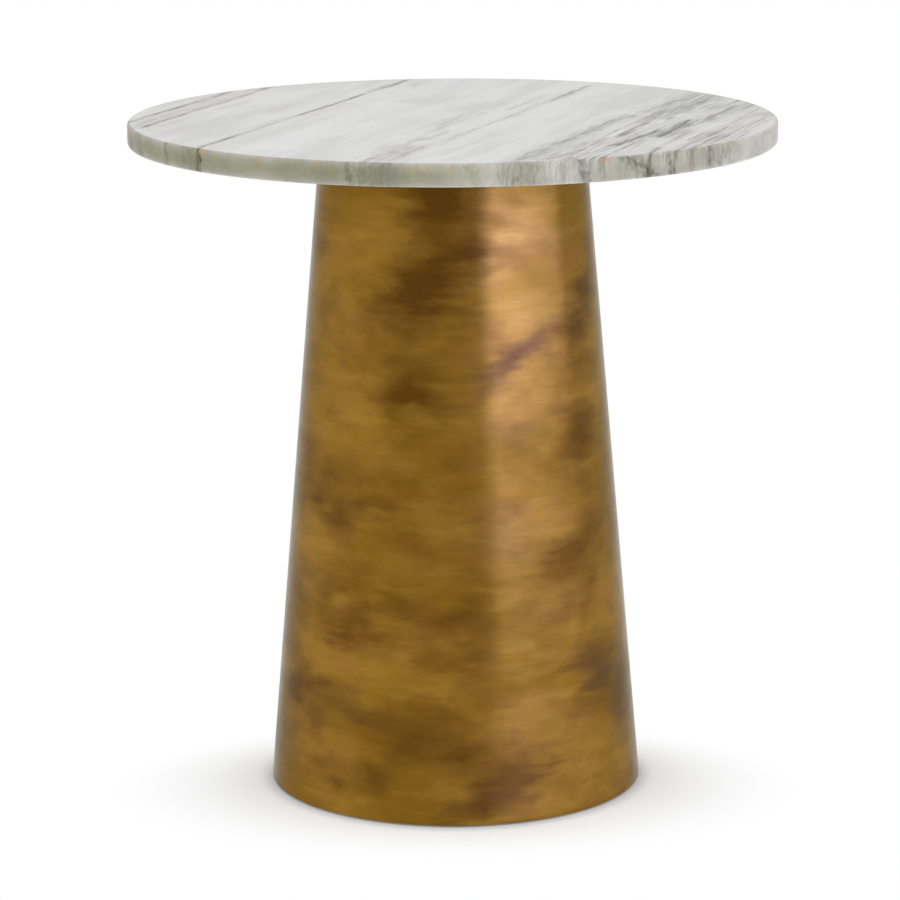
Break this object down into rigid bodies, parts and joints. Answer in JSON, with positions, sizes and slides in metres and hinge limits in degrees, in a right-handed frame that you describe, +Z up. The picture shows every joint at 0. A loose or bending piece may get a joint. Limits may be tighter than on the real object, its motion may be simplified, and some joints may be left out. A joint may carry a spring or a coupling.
{
  "type": "wine table",
  "caption": "Small round side table: a veined white marble slab on a tapered antiqued-brass drum, with levelling glides hidden under the drum.",
  "frame": {"origin": "on the floor, on the axis of the drum, with the glides screwed in", "axes": "+Z up along the axis of the drum; +X to the right and +Y away as the picture shows the table"},
  "size_m": [0.4569, 0.457, 0.48],
  "materials": {
    "marble": "polished",
    "antique_brass": "satin",
    "plywood": "matte",
    "foam_sheet": "matte",
    "raw_steel": "satin",
    "zinc_steel": "satin",
    "black_steel": "satin",
    "nylon": "matte"
  },
  "bodies": {
    "base": {"marble_top": "marble", "mounting_disc": "plywood", "tee_nuts": "zinc_steel", "top_gasket": "foam_sheet", "base_top_plate": "raw_steel", "flat_washers": "zinc_steel", "spring_washers": "zinc_steel", "top_screws": "black_steel", "base_cone": "antique_brass", "foot_ring": "raw_steel", "weld_nuts": "raw_steel"},
    "glide_1_foot": {"glide_cup_1": "zinc_steel", "glide_sole_1": "nylon"},
    "glide_1_stud": {"glide_stud_1": "zinc_steel"},
    "glide_2_foot": {"glide_cup_2": "zinc_steel", "glide_sole_2": "nylon"},
    "glide_2_stud": {"glide_stud_2": "zinc_steel"},
    "glide_3_foot": {"glide_cup_3": "zinc_steel", "glide_sole_3": "nylon"},
    "glide_3_stud": {"glide_stud_3": "zinc_steel"},
    "glide_4_foot": {"glide_cup_4": "zinc_steel", "glide_sole_4": "nylon"},
    "glide_4_stud": {"glide_stud_4": "zinc_steel"}
  },
  "joints": [
    {"name": "glide_1_height", "type": "slide", "parent": "base", "child": "glide_1_foot", "axis": [0, 0, -1], "range_m": [0, 0.01]},
    {"name": "glide_1_turn", "type": "hinge", "parent": "glide_1_foot", "child": "glide_1_stud", "pos_m": [0.1139, 0, 0], "axis": [0, 0, -1], "range_deg": [0, 2880]},
    {"name": "glide_2_height", "type": "slide", "parent": "base", "child": "glide_2_foot", "axis": [0, 0, -1], "range_m": [0, 0.01]},
    {"name": "glide_2_turn", "type": "hinge", "parent": "glide_2_foot", "child": "glide_2_stud", "pos_m": [0, 0.1139, 0], "axis": [0, 0, -1], "range_deg": [0, 2880]},
    {"name": "glide_3_height", "type": "slide", "parent": "base", "child": "glide_3_foot", "axis": [0, 0, -1], "range_m": [0, 0.01]},
    {"name": "glide_3_turn", "type": "hinge", "parent": "glide_3_foot", "child": "glide_3_stud", "pos_m": [-0.1139, 0, 0], "axis": [0, 0, -1], "range_deg": [0, 2880]},
    {"name": "glide_4_height", "type": "slide", "parent": "base", "child": "glide_4_foot", "axis": [0, 0, -1], "range_m": [0, 0.01]},
    {"name": "glide_4_turn", "type": "hinge", "parent": "glide_4_foot", "child": "glide_4_stud", "pos_m": [0, -0.1139, 0], "axis": [0, 0, -1], "range_deg": [0, 2880]}
  ],
  "couplings": [
    {"joint": "glide_1_turn", "follows": "glide_1_height", "rad_per_m": 5026.5},
    {"joint": "glide_2_turn", "follows": "glide_2_height", "rad_per_m": 5026.5},
    {"joint": "glide_3_turn", "follows": "glide_3_height", "rad_per_m": 5026.5},
    {"joint": "glide_4_turn", "follows": "glide_4_height", "rad_per_m": 5026.5}
  ]
}
